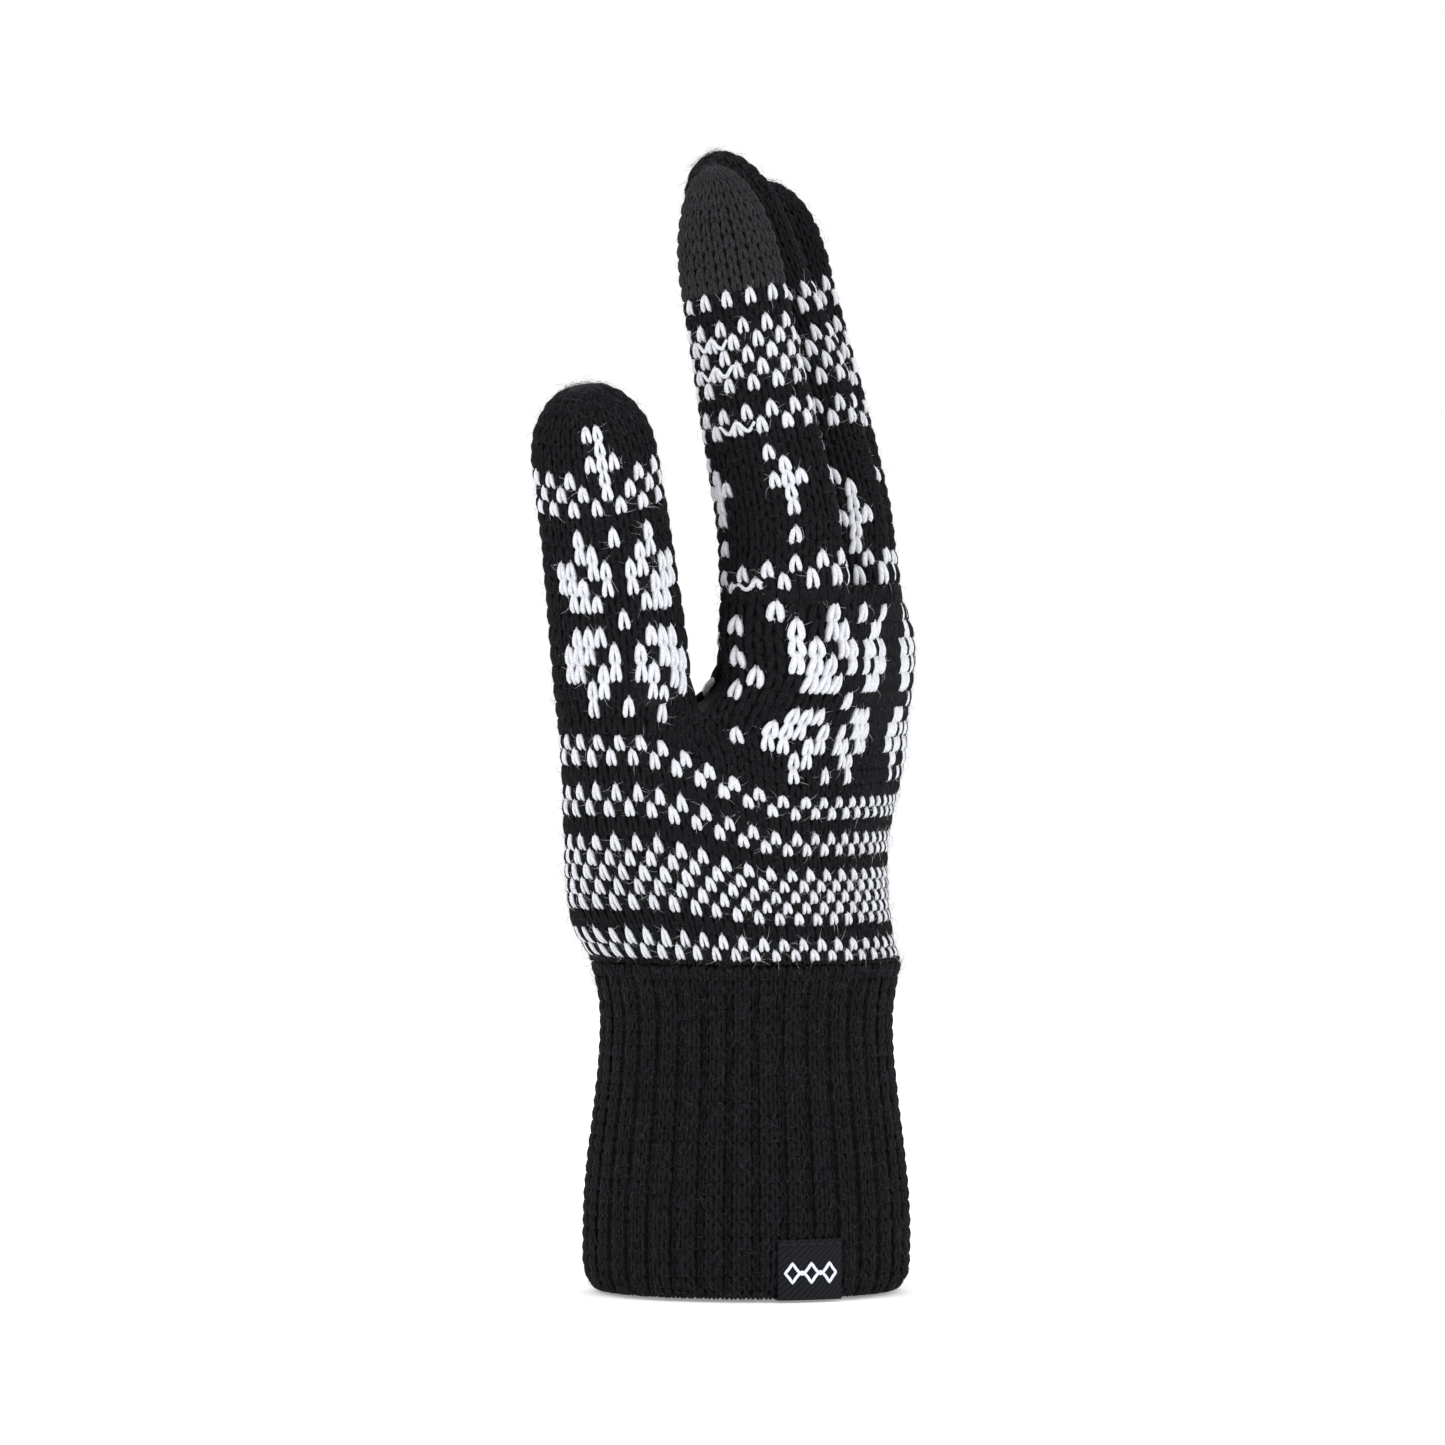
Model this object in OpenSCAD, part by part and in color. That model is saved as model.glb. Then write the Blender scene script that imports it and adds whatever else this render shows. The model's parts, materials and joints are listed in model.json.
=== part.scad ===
// Knitted jacquard glove for a right hand: rib cuff, palm tube, four finger stalls and a thumb stall.
// Frame: origin at the centre of the wrist opening in the hem's plane, +Z towards the fingertips,
// +X out of the back of the hand, -Y towards the thumb and forefinger.

/* [Cuff] */
// Height of the rib cuff, hem included
cuff_h = 75; // [65:1:90]
// Outer radius of the cuff at its widest, just above the hem
cuff_r = 37.1; // [36:0.1:38]
// Outer radius at the narrowest part, near the wrist
wrist_r = 33.1; // [32:0.1:35]
// Thickness of the knitted wall
wall = 2.2; // [1.6:0.1:2.6]
// Height of the turned hem at the wrist opening
hem_h = 7; // [6:0.5:8]
// Radius of the wrist opening, inside the hem
mouth_r = 31.6; // [31:0.1:32.6]

/* [Hand] */
// Height of the palm's upper edge, where the finger stalls start
palm_top = 160; // [156:1:166]
// Height of the thumb crotch
thumb_crotch = 134; // [130:1:138]
// Distance between the centrelines of neighbouring fingers
finger_pitch = 22.4; // [22.2:0.1:24]
// Half thickness of a finger stall at its root, palm side to back
finger_a = 14; // [13:0.1:15]
// Half width of a finger stall at its root
finger_b = 10.9; // [10:0.1:11]
// Length of the middle finger stall above the palm's edge
middle_len = 102.4; // [92:0.2:110]
// Half width of the thumb stall, palm side to back
thumb_a = 15.4; // [13:0.1:16]
// Half width of the thumb stall, across
thumb_b = 12.8; // [12:0.1:14]
// Length of the thumb stall above its crotch
thumb_len = 73; // [65:1:82]

/* [Label] */
// Width of the woven label
label_w = 15.6; // [12:0.2:20]
// Height of the label's outer leaf
label_h = 13.6; // [10:0.2:18]
// Where the label sits round the cuff, from the thumb side towards the back of the hand
label_turn = 38; // [20:1:60]

/* [Hidden] */
$fn = 96;
DIGITS = ["thumb", "index", "middle", "ring", "little"];
PARTS = ["base_band", "lower_stall", "middle_band", "upper_stall", "closing_knot"];

YARN = [0.035, 0.035, 0.04];
TOUCH_YARN = [0.12, 0.12, 0.13];
LABEL = [0.02, 0.022, 0.03];

sides = 24;          // corners of a stall's section
palm_sides = 72;     // corners of a palm section
gap = 0.3;           // between neighbouring sections of one stall
knot_r = 1.3;        // a fingertip's closing knot
label_t = 0.5;       // one leaf of the label
thread = 0.36;       // sewing thread

// Per digit: centre of the root [x, y], root height, lower hinge height above the root, hinge-to-hinge length,
// length from the root to the tip, half thickness, half width, lean to the palm side, more lean past the
// second hinge, fan to the side, share of the width lost by the tip, length of the rounded tip.
function digit(name) =
    name == "thumb" ? [[-15.7, -48], thumb_crotch + 1, 11, 25, thumb_len, thumb_a, thumb_b, 2, 2, -16, 0.08, 18] :
    name == "index" ? [[17.2, -1.5 * finger_pitch], palm_top, 10.6, 35, middle_len - 7, finger_a, finger_b, 11.8, -2, -1.2, 0.16, 28] :
    name == "middle" ? [[22.2, -0.5 * finger_pitch], palm_top, 11.4, 37.6, middle_len, finger_a, finger_b, 13, 8, -0.4, 0.18, 21] :
    name == "ring" ? [[18, 0.5 * finger_pitch], palm_top, 10.6, 35, middle_len - 8, finger_a, finger_b, 11, 3, 1.2, 0.2, 20] :
    [[13, 1.5 * finger_pitch], palm_top, 9.6, 28, middle_len - 28, finger_a - 1.4, finger_b - 0.3, 9, 6, 4, 0.2, 18];
function root_xy(d) = d[0];
function root_z(d) = d[1];
function hinge_1(d) = d[2];
function hinge_2(d) = d[2] + d[3];
function tip_s(d) = d[4];
function half_a(d) = d[5];
function half_b(d) = d[6];
function lean(d) = d[7];
function curl(d) = d[8];
function fan(d) = d[9];
function taper(d) = d[10];
function dome(d) = d[11];

band_half = 8.6;     // a bending band reaches this far on each side of its hinge
bend_in = 22;        // length over which a stall takes up a change of lean
lean_steps = 16;     // straight steps that a centreline is added up from

function smooth(t) = let (u = min(1, max(0, t))) u * u * (3 - 2 * u);
function mix(a, b, t) = a + (b - a) * t;
function total(list, i = 0) = i == len(list) ? 0 * list[0] : list[i] + (i + 1 < len(list) ? total(list, i + 1) : 0 * list[0]);

// A stall leans towards -X in a plane that its fan angle tilts about X.
function out_axis(d) = [1, 0, 0];
function side_axis(d) = [0, cos(fan(d)), -sin(fan(d))];
function up_axis(d) = [0, sin(fan(d)), cos(fan(d))];
function lean_at(d, s) = lean(d) * smooth(s / bend_in) + curl(d) * smooth((s - hinge_2(d) + bend_in / 2) / bend_in);
function along(d, s) = let (step = s / lean_steps) total([for (k = [0 : lean_steps - 1])
    let (angle = lean_at(d, (k + 0.5) * step)) step * (cos(angle) * up_axis(d) - sin(angle) * out_axis(d))]);
function centre(d, s) = [root_xy(d)[0], root_xy(d)[1], root_z(d)] + along(d, s);

// A stall narrows a little from its root to where its rounded tip starts, and closes as a quarter ellipse.
function size_at(d, s) = let (start = tip_s(d) - dome(d), u = (s - start) / dome(d))
    (1 - taper(d) * smooth(min(s, start) / start)) * (u <= 0 ? 1 : sqrt(max(0, 1 - pow(u, 2.1))));
function section(d, s, inset) = let (
        angle = lean_at(d, s),
        across = cos(angle) * out_axis(d) + sin(angle) * up_axis(d),
        a = half_a(d) * size_at(d, s) - inset,
        b = half_b(d) * size_at(d, s) - inset)
    [for (k = [0 : sides - 1]) let (t = 360 * k / sides) centre(d, s) + a * cos(t) * across + b * sin(t) * side_axis(d)];

// The palm's section is a band stretched round a hand oval and a thumb lobe, both changing with height.
// Each level: height, oval centre, oval half sizes, oval squareness (2 is an ellipse, 1.3 a rounded box),
// lobe centre, lobe half sizes, depth of the valley between them.
LEVELS = [
    [cuff_h, [0, 0], [wrist_r + 1.6, wrist_r + 1.6], 2, [-16, -8.4], [17.6, 17.6], 0],
    [cuff_h + 9, [-0.8, 0.3], [33, 35.2], 2, [-19.2, -17], [17.6, 17], 0],
    [cuff_h + 26, [4.2, 0.6], [26.4, 37.4], 1.9, [-17, -30], [16.8, 16], 0],
    [cuff_h + 43, [12, 0.6], [21, 41.2], 1.7, [-15, -41], [16.2, 14.4], 2.5],
    [thumb_crotch, [17, 0.2], [16.6, 44], 1.5, [-15.3, -47.6], [thumb_a, thumb_b], 8],
    [cuff_h + 71, [17.2, 0.2], [16.2, 44.6], 1.4, [-10, -40], [8, 8], 0],
    [palm_top, [14.4, 0], [finger_a + 1.2, 2 * finger_pitch], 1.3, [0, 0], [1, 1], 0]];
function level_mix(z, k) = let (
        i = max([for (j = [0 : len(LEVELS) - 2]) LEVELS[j][0] <= z + 0.001 ? j : 0]),
        t = (z - LEVELS[i][0]) / (LEVELS[i + 1][0] - LEVELS[i][0]))
    mix(LEVELS[i][k], LEVELS[i + 1][k], t);
// How far a shape with centre c, half sizes h and squareness q reaches along the direction n.
function span(h, q, n) = pow(pow(h[0] * abs(n[0]), q) + pow(h[1] * abs(n[1]), q), 1 / q);
function rim_point(c, h, q, n) = let (r = pow(span(h, q, n), 1 - q))
    [for (i = [0, 1]) c[i] + r * pow(h[i], q) * pow(abs(n[i]), q - 1) * sign(n[i])];
blend_mm = 2.2;
function palm_section(z, inset, lobe) = let (
        oc = level_mix(z, 1), oh = level_mix(z, 2), q = level_mix(z, 3),
        lc = level_mix(z, 4), lh = level_mix(z, 5), valley = level_mix(z, 6))
    [for (k = [0 : palm_sides - 1]) let (
        t = 360 * (k + 0.5) / palm_sides,
        a = atan2(oh[0] * sin(t), oh[1] * cos(t)),
        n = [cos(a), sin(a)],
        lead = lc * n + span(lh, 2, n) - oc * n - span(oh, q, n),
        w = lobe ? 1 / (1 + exp(-lead / blend_mm)) : 0,
        side = n[1] < -0.5 ? 1 : 0.3,
        p = mix(rim_point(oc, oh, q, n), rim_point(lc, lh, 2, n), w)
            - (inset + side * valley * 4 * w * (1 - w)) * n)
        [p[0], p[1], z]];

// A closed wall between outer and inner rings of points. A capped wall closes over its last rings.
function side_faces(n, rings, first, out) = [for (j = [0 : rings - 2]) for (k = [0 : n - 1])
    let (p = first + j * n + k, q = first + j * n + (k + 1) % n)
    for (f = out ? [[p, p + n, q + n], [p, q + n, q]] : [[p, q + n, p + n], [p, q, q + n]]) f];
function rim_faces(n, a, b, up) = [for (k = [0 : n - 1]) let (q = (k + 1) % n)
    for (f = up ? [[a + k, b + k, b + q], [a + k, b + q, a + q]] : [[a + k, b + q, b + k], [a + k, a + q, b + q]]) f];
function cap_faces(n, a, up) = [up ? [for (k = [n - 1 : -1 : 0]) a + k] : [for (k = [0 : n - 1]) a + k]];
module knitted_wall(outer, inner, capped = false) {
    n = len(outer[0]);
    first = len(outer) * n;
    points = [for (ring = concat(outer, inner)) each ring];
    polyhedron(points, concat(
        side_faces(n, len(outer), 0, true),
        side_faces(n, len(inner), first, false),
        rim_faces(n, 0, first, false),
        capped ? concat(cap_faces(n, first - n, true), cap_faces(n, len(points) - n, false))
               : rim_faces(n, first - n, len(points) - n, true)));
}

// A stall's first ring lies level, just above the palm's edge, whatever its fan angle.
function level_section(d, inset) = [for (p = section(d, 0, inset))
    p + (root_z(d) + gap - p[2]) / up_axis(d)[2] * up_axis(d)];
function stall_ring(d, s, inset) = s == 0 ? level_section(d, inset) : section(d, s, inset);
module stall(name, from, to, rings, colour = YARN) {
    d = digit(name);
    color(colour) knitted_wall(
        [for (j = [0 : rings]) stall_ring(d, mix(from, to, j / rings), 0)],
        [for (j = [0 : rings]) stall_ring(d, mix(from, to, j / rings), wall)]);
}
// The closed end: rings crowd towards the tip as the dome closes.
module stall_end(name, from, colour = YARN) {
    d = digit(name);
    rings = 9;
    top = tip_s(d) - 0.25;
    inner_top = top - wall;
    color(colour) knitted_wall(
        [for (j = [0 : rings]) section(d, mix(from, top, sin(90 * j / rings)), 0)],
        [for (j = [0 : rings]) section(d, mix(from, inner_top, sin(90 * j / rings)),
            min(wall, half_b(d) * size_at(d, mix(from, inner_top, sin(90 * j / rings))) - 0.6))],
        capped = true);
}
touch_len = 31;      // length of the touch yarn at the end of the forefinger
module digit_part(name, part) {
    d = digit(name);
    if (part == "base_band") stall(name, 0, hinge_1(d) + band_half - gap, 3);
    if (part == "lower_stall") stall(name, hinge_1(d) + band_half, hinge_2(d) - band_half, 3);
    if (part == "middle_band") stall(name, hinge_2(d) - band_half + gap, hinge_2(d) + band_half - gap, 3);
    if (part == "upper_stall") {
        if (name == "index") stall(name, hinge_2(d) + band_half, tip_s(d) - touch_len - gap / 2, 2);
        else stall_end(name, hinge_2(d) + band_half);
    }
    if (part == "closing_knot")
        color(YARN) translate(centre(d, tip_s(d) - 0.25 - wall - knot_r - 0.5)) sphere(knot_r, $fn = 24);
}
module index_touch_tip() stall_end("index", tip_s(digit("index")) - touch_len + gap / 2, TOUCH_YARN);

module lower_palm() color(YARN) {
    steps = 8;
    knitted_wall(
        [for (j = [0 : steps]) palm_section(mix(cuff_h, thumb_crotch, j / steps), 0, true)],
        [for (j = [0 : steps]) palm_section(mix(cuff_h, thumb_crotch, j / steps), wall, true)]);
}
module upper_palm() color(YARN) {
    steps = 4;
    knitted_wall(
        [for (j = [0 : steps]) palm_section(mix(thumb_crotch, palm_top, j / steps), 0, false)],
        [for (j = [0 : steps]) palm_section(mix(thumb_crotch, palm_top, j / steps), wall, false)]);
}

// Radius of the cuff's outer surface: flared at the hem, narrow at the wrist, then out to the palm.
function cuff_radius(z) =
    z < cuff_h - 13 ? mix(cuff_r, wrist_r, smooth((z - 14) / (cuff_h - 27)))
                    : mix(wrist_r, wrist_r + 1.6, smooth((z - cuff_h + 13) / 13));
module cuff_rib() color(YARN) {
    steps = 14;
    levels = [for (j = [0 : steps]) mix(hem_h, cuff_h, j / steps)];
    difference() {
        rotate_extrude() polygon(concat(
            [for (z = levels) [cuff_radius(z), z]],
            [for (j = [steps : -1 : 0]) [cuff_radius(levels[j]) - wall, levels[j]]]));
        label_pocket();
    }
}
// The hem is a rolled edge round a true cylindrical mouth.
roll_out = 4.2;      // how far the rolled edge draws in towards the mouth
module hem_profile() intersection() {
    translate([mouth_r, 0]) square([cuff_r, hem_h]);
    union() {
        translate([0, hem_h]) scale([1, hem_h / roll_out])
            translate([cuff_r - roll_out, 0]) circle(roll_out, $fn = 48);
        translate([mouth_r, 0]) square([cuff_r - roll_out - mouth_r, hem_h]);
    }
}
module cuff_hem() color(YARN) difference() {
    rotate_extrude() hem_profile();
    label_pocket();
}

// The label is one woven strip folded round the hem. The knit is pressed in where it lies.
label_angle = label_w / cuff_r * 180 / PI;
inner_leaf_h = hem_h - 0.8;
module label_profile(spare) {
    t = label_t + spare;
    translate([cuff_r - t, 0]) square([t + spare, label_h + spare]);
    translate([mouth_r - spare, -spare]) square([t + spare, inner_leaf_h + 2 * spare]);
    translate([mouth_r - spare, -spare]) square([cuff_r - mouth_r + 2 * spare, t + spare]);
}
module round_the_cuff(from, sweep) rotate([0, 0, -90 + label_turn + from]) rotate_extrude(angle = sweep) children();
module label_pocket() round_the_cuff(-label_angle / 2 - 0.3, label_angle + 0.6) label_profile(0.05);
module woven_label() color(LABEL) round_the_cuff(-label_angle / 2, label_angle) label_profile(0);
// One row of sewing stitches holds the outer leaf's top edge.
module label_stitching() color(YARN) {
    stitches = 7;
    seam_z = label_h - 1.2;
    pitch = label_angle / stitches;
    for (k = [0 : stitches - 1])
        round_the_cuff(-label_angle / 2 + (k + 0.2) * pitch, pitch * 0.6)
            translate([cuff_r + 0.02, seam_z]) square([thread, thread]);
}

cuff_rib();
cuff_hem();
woven_label();
label_stitching();
lower_palm();
upper_palm();
index_touch_tip();
for (d = DIGITS) for (p = PARTS)
    digit_part(d, p);
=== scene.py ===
# Knitted jacquard glove. Each stitch is its own loop of yarn, laid on outlines taken from the CAD frame.
# Lengths in this script are millimetres; Mesh.make() turns them into the metres of the frame.
import json
import math
import bmesh
import bpy
import numpy as np
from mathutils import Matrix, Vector
from mathutils.bvhtree import BVHTree


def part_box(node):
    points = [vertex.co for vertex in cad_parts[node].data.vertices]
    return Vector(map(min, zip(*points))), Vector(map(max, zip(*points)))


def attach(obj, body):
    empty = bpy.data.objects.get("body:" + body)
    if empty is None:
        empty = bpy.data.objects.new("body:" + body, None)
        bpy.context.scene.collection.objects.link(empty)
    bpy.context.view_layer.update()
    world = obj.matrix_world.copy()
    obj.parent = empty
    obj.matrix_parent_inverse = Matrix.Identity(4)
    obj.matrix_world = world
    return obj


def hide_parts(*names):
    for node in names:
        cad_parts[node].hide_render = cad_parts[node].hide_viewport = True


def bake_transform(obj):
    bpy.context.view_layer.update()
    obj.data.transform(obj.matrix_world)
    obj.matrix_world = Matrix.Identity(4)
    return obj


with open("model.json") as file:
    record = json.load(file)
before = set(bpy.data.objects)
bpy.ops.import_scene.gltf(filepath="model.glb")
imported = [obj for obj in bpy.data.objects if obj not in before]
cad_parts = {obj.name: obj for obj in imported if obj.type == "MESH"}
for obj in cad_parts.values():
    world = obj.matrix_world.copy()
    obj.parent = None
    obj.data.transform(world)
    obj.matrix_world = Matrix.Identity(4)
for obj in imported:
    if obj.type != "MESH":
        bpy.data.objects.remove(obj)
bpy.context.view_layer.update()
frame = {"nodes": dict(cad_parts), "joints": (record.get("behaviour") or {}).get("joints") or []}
MM = 0.001
TAU = 2 * math.pi
SEED = 7
rng = np.random.default_rng(SEED)


# ---------------- small helpers
def smooth(t):
    t = np.clip(t, 0, 1)
    return t * t * (3 - 2 * t)


def mix(a, b, t):
    return a + (b - a) * t


def unit(v):
    nearly_nothing = 1e-9
    return v / np.maximum(np.linalg.norm(v, axis=-1, keepdims=True), nearly_nothing)


def steps(heights):
    """Running total of a list, starting at 0."""
    return np.concatenate([[0.0], np.cumsum(heights)])


# ---------------- camera, light and floor
VIEW_AZIMUTH, VIEW_ELEVATION, VIEW_DISTANCE = 15.0, 1.0, 2200.0
VIEW_WIDTH = 328.7  # what the frame's width shows at the glove
AIM = (-5.22, -1.4, 128.9)
SENSOR = 36.0
LIGHT_AIM = Vector((0, 0, 0.13))
LIGHTS = {  # place and size in metres, and power in watts
    "key_light": ((-0.9, -1.5, 1.1), 0.9, 11),
    "side_light": ((1.5, -0.6, 0.7), 0.7, 7),
    "back_light": ((-0.3, 1.6, 1.3), 0.9, 8),
}
FLOOR_RADIUS, FLOOR_LEVEL = 1.5, -0.0006  # in metres; a hair below the hem
FLOOR_GLOW = 0.3


def make_camera():
    azimuth, elevation = math.radians(VIEW_AZIMUTH), math.radians(VIEW_ELEVATION)
    back = Vector((math.sin(azimuth) * math.cos(elevation),
                   -math.cos(azimuth) * math.cos(elevation), math.sin(elevation)))
    data = bpy.data.cameras.new("camera")
    data.sensor_width = SENSOR
    data.lens = SENSOR * VIEW_DISTANCE / VIEW_WIDTH
    data.clip_start, data.clip_end = 0.05, 60
    camera = bpy.data.objects.new("camera", data)
    camera.location = (Vector(AIM) + back * VIEW_DISTANCE) * MM
    camera.rotation_mode = "QUATERNION"
    camera.rotation_quaternion = (-back).to_track_quat("-Z", "Y")
    bpy.context.scene.collection.objects.link(camera)
    bpy.context.scene.camera = camera


def area_light(name, place, size, power):
    """A soft square light at a place in metres, turned towards the middle of the glove."""
    data = bpy.data.lights.new(name, "AREA")
    data.energy, data.size = power, size
    lamp = bpy.data.objects.new(name, data)
    lamp.location = place
    lamp.rotation_mode = "QUATERNION"
    lamp.rotation_quaternion = (LIGHT_AIM - Vector(place)).to_track_quat("-Z", "Y")
    bpy.context.scene.collection.objects.link(lamp)


def make_studio():
    world = bpy.data.worlds.new("white_studio")
    world.use_nodes = True
    settle(world.node_tree.nodes["Background"], Color=(1, 1, 1, 1), Strength=1.0)
    bpy.context.scene.world = world
    for name, (place, size, power) in LIGHTS.items():
        area_light(name, place, size, power)
    material, shader = new_material("floor_white")
    settle(shader, Base_Color=(0.9, 0.9, 0.9, 1), Roughness=1.0, Specular_IOR_Level=0.0,
           Emission_Color=(1, 1, 1, 1), Emission_Strength=FLOOR_GLOW)
    bpy.ops.mesh.primitive_circle_add(vertices=96, radius=FLOOR_RADIUS, fill_type="NGON",
                                      location=(0, 0, FLOOR_LEVEL))
    floor = bpy.context.object
    floor.name = "floor"
    floor.data.materials.append(material)
    bpy.context.scene.view_settings.view_transform = "Standard"


# ---------------- materials
def new_material(name):
    material = bpy.data.materials.new(name)
    material.use_nodes = True
    return material, material.node_tree.nodes["Principled BSDF"]


def settle(node, **values):
    """Sets some of a node's inputs by name, with _ for a blank, and returns the node."""
    for name, value in values.items():
        node.inputs[name.replace("_", " ")].default_value = value
    return node


def two_colours(ramp, low, high, ends=(0.0, 1.0)):
    """Sets a colour ramp's two colours and their places."""
    for element, colour, place in zip(ramp.color_ramp.elements, (low, high), ends):
        element.position = place
        element.color = (*colour, 1)


def yarn_material(name, dark, light, sheen, strand_depth):
    """Fuzzy plied yarn: fine strands run along the yarn and twist round it. The colour follows the same
    strand height as the bump: darker in the grooves between strands as painted shade, lighter on their crests
    as painted highlight, with fine random tone on top.
    """
    material, shader = new_material(name)
    new, link = material.node_tree.nodes.new, material.node_tree.links.new
    uv = new("ShaderNodeUVMap")
    uv.uv_map = "yarn"
    twist = settle(new("ShaderNodeMapping"), Scale=(4.0, 9.0, 1.0), Rotation=(0, 0, 0.5))
    strands = settle(new("ShaderNodeTexNoise"), Scale=3.0, Detail=6.0, Roughness=0.7)
    place = new("ShaderNodeTexCoord")
    fuzz_noise = settle(new("ShaderNodeTexNoise"), Scale=2600.0, Detail=4.0)
    both = new("ShaderNodeMath")
    both.operation = "MULTIPLY"
    # the ramp's dark end is painted shade in the strands' grooves, its light end painted highlight on their
    # crests
    ramp = new("ShaderNodeValToRGB")
    two_colours(ramp, dark, light, (0.15, 0.40))
    bump = settle(new("ShaderNodeBump"), Strength=1.0, Distance=strand_depth * MM)
    link(uv.outputs["UV"], twist.inputs["Vector"])
    link(twist.outputs["Vector"], strands.inputs["Vector"])
    link(place.outputs["Object"], fuzz_noise.inputs["Vector"])
    link(strands.outputs["Fac"], both.inputs[0])
    link(fuzz_noise.outputs["Fac"], both.inputs[1])
    link(both.outputs["Value"], ramp.inputs["Fac"])
    link(ramp.outputs["Color"], shader.inputs["Base Color"])
    link(both.outputs["Value"], bump.inputs["Height"])
    link(bump.outputs["Normal"], shader.inputs["Normal"])
    settle(shader, Roughness=0.95, Specular_IOR_Level=0.1, Sheen_Weight=sheen, Sheen_Roughness=0.6)
    return material


def fibre_material(name, colour):
    material, shader = new_material(name)
    settle(shader, Base_Color=(*colour, 1), Roughness=0.9, Specular_IOR_Level=0.1)
    return material


# ---------------- tubes and meshes
YARN_MAP_LENGTH = 10  # millimetres of yarn in one unit of the yarn's texture map
YARN_MAP_SHIFT = 40  # each stitch starts somewhere else in the map, at most this many units on


def ring_quads(rings, around):
    """Faces between neighbouring rings of points."""
    k = np.arange(around)
    after = (k + 1) % around
    base = (np.arange(rings - 1) * around)[:, None]
    return np.stack([base + k, base + after, base + after + around, base + k + around], -1).reshape(-1, 4)


class Mesh:
    """Collects faces from several sources and makes them into one piece."""

    def __init__(self):
        self.points, self.corners, self.sizes, self.uvs, self.materials = [], [], [], [], []
        self.count = 0

    def add(self, points, faces, uvs, material):
        """New points, and faces (n, corners) on them with uvs (n, corners, 2)."""
        first = self.count
        self.points.append(points.reshape(-1, 3))
        self.count += len(self.points[-1])
        self.add_faces(faces, uvs, material, first)

    def add_faces(self, faces, uvs, material, first):
        """More faces on points that were added from index first on."""
        self.corners.append((faces + first).reshape(-1))
        self.sizes.append(np.full(len(faces), faces.shape[1]))
        self.uvs.append(uvs.reshape(-1, 2))
        self.materials.append(np.full(len(faces), material))

    def tubes(self, lines, normals, radii, sides, material=0):
        """Closed tubes along many centrelines at once: lines (n, m, 3), normals (n, m, 3), radii (n, m)."""
        n, m, _ = lines.shape
        ahead = unit(np.gradient(lines, axis=1))
        up = unit(normals - (normals * ahead).sum(-1, keepdims=True) * ahead)
        across = np.cross(ahead, up)
        angle = TAU * np.arange(sides) / sides
        ring = (np.cos(angle)[:, None] * up[:, :, None, :] + np.sin(angle)[:, None] * across[:, :, None, :])
        points = lines[:, :, None, :] + radii[:, :, None, None] * ring
        k = np.arange(sides)
        after = (k + 1) % sides
        base = ((np.arange(n)[:, None] * m + np.arange(m - 1)) * sides)[..., None]
        quads = np.stack([base + k, base + after, base + after + sides, base + k + sides], -1)
        lengths = np.linalg.norm(np.diff(lines, axis=1), axis=-1)
        run = np.concatenate([np.zeros((n, 1)), np.cumsum(lengths, 1)], 1)
        run = run / YARN_MAP_LENGTH + rng.random((n, 1)) * YARN_MAP_SHIFT
        low, high = run[:, :-1, None] + 0 * k, run[:, 1:, None] + 0 * k
        left, right = k / sides + 0 * low, (k + 1) / sides + 0 * low
        uv = np.stack([np.stack([low, left], -1), np.stack([low, right], -1),
                       np.stack([high, right], -1), np.stack([high, left], -1)], -2)
        first = self.count
        self.add(points, quads.reshape(-1, 4), uv.reshape(-1, 4, 2), material)
        start = (np.arange(n) * m * sides)[:, None] + k[::-1]
        end = (np.arange(n) * m * sides + (m - 1) * sides)[:, None] + k
        for cap, along in ((start, run[:, :1]), (end, run[:, -1:])):
            flat = np.stack([along + 0 * k, k / sides + 0 * along], -1)
            self.add_faces(cap, flat, material, first)

    def make(self, name, *materials):
        """The piece, in metres."""
        mesh = bpy.data.meshes.new(name)
        points = np.concatenate(self.points) * MM
        points[:, 2] = np.maximum(points[:, 2], 0)
        corners, sizes = np.concatenate(self.corners), np.concatenate(self.sizes)
        mesh.vertices.add(len(points))
        mesh.vertices.foreach_set("co", points.astype(np.float32).ravel())
        mesh.loops.add(len(corners))
        mesh.loops.foreach_set("vertex_index", corners.astype(np.int32))
        mesh.polygons.add(len(sizes))
        mesh.polygons.foreach_set("loop_start", (np.cumsum(sizes) - sizes).astype(np.int32))
        layer = mesh.uv_layers.new(name="yarn")
        layer.data.foreach_set("uv", np.concatenate(self.uvs).astype(np.float32).ravel())
        mesh.polygons.foreach_set("material_index", np.concatenate(self.materials).astype(np.int32))
        mesh.update(calc_edges=True)
        mesh.shade_smooth()
        for material in materials:
            mesh.materials.append(material)
        piece = bpy.data.objects.new(name, mesh)
        bpy.context.scene.collection.objects.link(piece)
        return piece


def shell_mesh(outer, inner):
    """A closed wall between two grids of rings (rings, points, 3), open at both ends of the tube."""
    rings, count, _ = outer.shape
    k = np.arange(count)
    after = (k + 1) % count
    out = ring_quads(rings, count)
    shift = rings * count
    faces = [out, out[:, ::-1] + shift]
    top = (rings - 1) * count
    faces.append(np.stack([after, k, k + shift, after + shift], -1))
    faces.append(np.stack([k + top, after + top, after + top + shift, k + top + shift], -1))
    faces = np.concatenate(faces)
    mesh = Mesh()
    mesh.add(np.concatenate([outer, inner]), faces, np.zeros((len(faces), 4, 2)), 0)
    return mesh


# ---------------- outlines taken from the frame
def solid_tree(*names):
    points, faces = [], []
    for name in names:
        mesh = frame["nodes"][name].data
        first = len(points)
        points += [v.co / MM for v in mesh.vertices]
        faces += [[first + i for i in p.vertices] for p in mesh.polygons]
    return BVHTree.FromPolygons(points, faces)


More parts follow.
